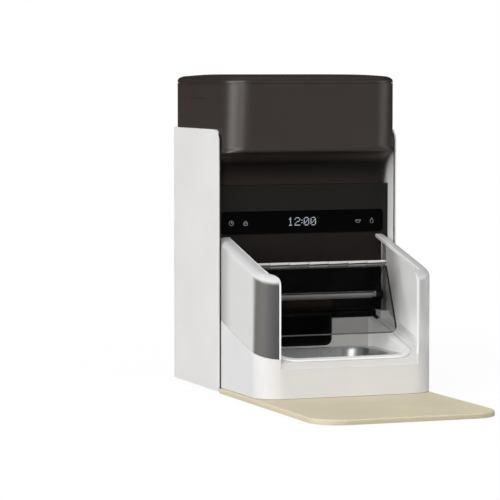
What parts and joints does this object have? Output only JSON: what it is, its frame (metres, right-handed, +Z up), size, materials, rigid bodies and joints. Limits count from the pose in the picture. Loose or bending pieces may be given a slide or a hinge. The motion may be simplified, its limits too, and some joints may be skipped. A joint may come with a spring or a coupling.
{
  "type": "microchip pet feeder",
  "caption": "Upright automatic pet feeder with a food tank, a dispensing rotor and chute, a folding clear lid over a steel bowl between side guards, and a feeding mat.",
  "frame": {"origin": "on the floor, under the middle of the box round the feeder and its mat", "axes": "+X to the right of someone facing the bowl, +Y to the back, +Z up"},
  "size_m": [0.194, 0.411, 0.3192],
  "materials": {
    "white_plastic": "satin",
    "tray_plastic": "satin",
    "brown_plastic": "satin",
    "black_plastic": "matt",
    "brown_black_plastic": "matt",
    "gloss_black": "gloss",
    "grey_plastic": "satin",
    "milky_clear": "frosted",
    "clear_sheet": "clear",
    "silicone": "matt",
    "rubber": "matt",
    "stainless": "brushed",
    "steel": "bright",
    "circuit_board": "solder mask",
    "copper": "enamelled copper",
    "cell_wrap": "gloss wrap"
  },
  "bodies": {
    "feeder": {"base_housing": "white_plastic", "battery_box": "black_plastic", "battery_cell_1": "cell_wrap", "battery_cell_2": "cell_wrap", "battery_contacts": "steel", "bottom_cover": "white_plastic", "bowl_sensor": "brown_plastic", "cavity_liner": "black_plastic", "chip_antenna": "copper", "dispense_motor": "grey_plastic", "dispenser_housing": "black_plastic", "display_board": "circuit_board", "display_window": "gloss_black", "feeding_mat": "silicone", "food_bin": "brown_plastic", "food_chute": "black_plastic", "foot_left_front": "rubber", "foot_left_rear": "rubber", "foot_right_front": "rubber", "foot_right_rear": "rubber", "front_panel": "black_plastic", "guard_left": "milky_clear", "guard_right": "milky_clear", "hinge_bracket_left": "black_plastic", "hinge_bracket_right": "black_plastic", "hinge_pin": "steel", "inner_frame": "black_plastic", "latch_spring_left": "steel", "latch_spring_right": "steel", "lid_motor": "steel", "lid_motor_mount": "black_plastic", "lower_panel": "brown_black_plastic", "main_board": "circuit_board", "power_inlet": "black_plastic", "screw_left_front": "steel", "screw_left_rear": "steel", "screw_right_front": "steel", "screw_right_rear": "steel", "shell": "white_plastic", "speaker": "black_plastic", "tray": "tray_plastic", "upper_housing": "brown_plastic"},
    "tank_lid": {"tank_lid": "brown_plastic", "lid_seal": "rubber", "desiccant_holder": "white_plastic", "desiccant_cap": "white_plastic"},
    "latch_left": {"latch_button_left": "brown_plastic"},
    "latch_right": {"latch_button_right": "brown_plastic"},
    "rotor": {"rotor": "grey_plastic", "rotor_shaft": "steel"},
    "lid_rear": {"rear_bar": "grey_plastic", "rear_plate": "clear_sheet", "fold_bar": "grey_plastic", "fold_pin": "steel", "lid_gear": "grey_plastic"},
    "lid_front": {"front_bar": "grey_plastic", "front_plate": "clear_sheet"},
    "lid_pinion": {"lid_pinion": "grey_plastic"},
    "battery_door": {"battery_door": "white_plastic"},
    "bowl": {"bowl": "stainless"}
  },
  "joints": [
    {"name": "tank_lid_lift", "type": "slide", "parent": "feeder", "child": "tank_lid", "axis": [0, 0, 1], "range_m": [0, 0.06]},
    {"name": "latch_left_press", "type": "slide", "parent": "feeder", "child": "latch_left", "axis": [1, 0, 0], "range_m": [0, 0.002], "stiffness_N_per_m": 400, "springref_m": -0.003, "deforming": ["latch_spring_left"]},
    {"name": "latch_right_press", "type": "slide", "parent": "feeder", "child": "latch_right", "axis": [-1, 0, 0], "range_m": [0, 0.002], "stiffness_N_per_m": 400, "springref_m": -0.003, "deforming": ["latch_spring_right"]},
    {"name": "rotor_spin", "type": "hinge", "parent": "feeder", "child": "rotor", "pos_m": [0, 0.1275, 0.178], "axis": [1, 0, 0], "continuous": true},
    {"name": "lid_rear_hinge", "type": "hinge", "parent": "feeder", "child": "lid_rear", "pos_m": [0, 0.0715, 0.0939], "axis": [1, 0, 0], "range_deg": [-4, 70.5]},
    {"name": "lid_front_fold", "type": "hinge", "parent": "lid_rear", "child": "lid_front", "pos_m": [0, 0.0385, 0.129], "axis": [1, 0, 0], "range_deg": [-113.2, 6.6]},
    {"name": "lid_pinion_spin", "type": "hinge", "parent": "feeder", "child": "lid_pinion", "pos_m": [0, 0.0905, 0.0939], "axis": [1, 0, 0], "range_deg": [-153, 8.9]},
    {"name": "battery_door_drop", "type": "slide", "parent": "feeder", "child": "battery_door", "axis": [0, 0, -1], "range_m": [0, 0.02]},
    {"name": "bowl_lift", "type": "slide", "parent": "feeder", "child": "bowl", "axis": [0, 0, 1], "range_m": [0, 0.002]}
  ],
  "couplings": [
    {"joint": "lid_front_fold", "follows": "lid_rear_hinge", "ratio": -1.603},
    {"joint": "lid_pinion_spin", "follows": "lid_rear_hinge", "ratio": -2.1667}
  ]
}
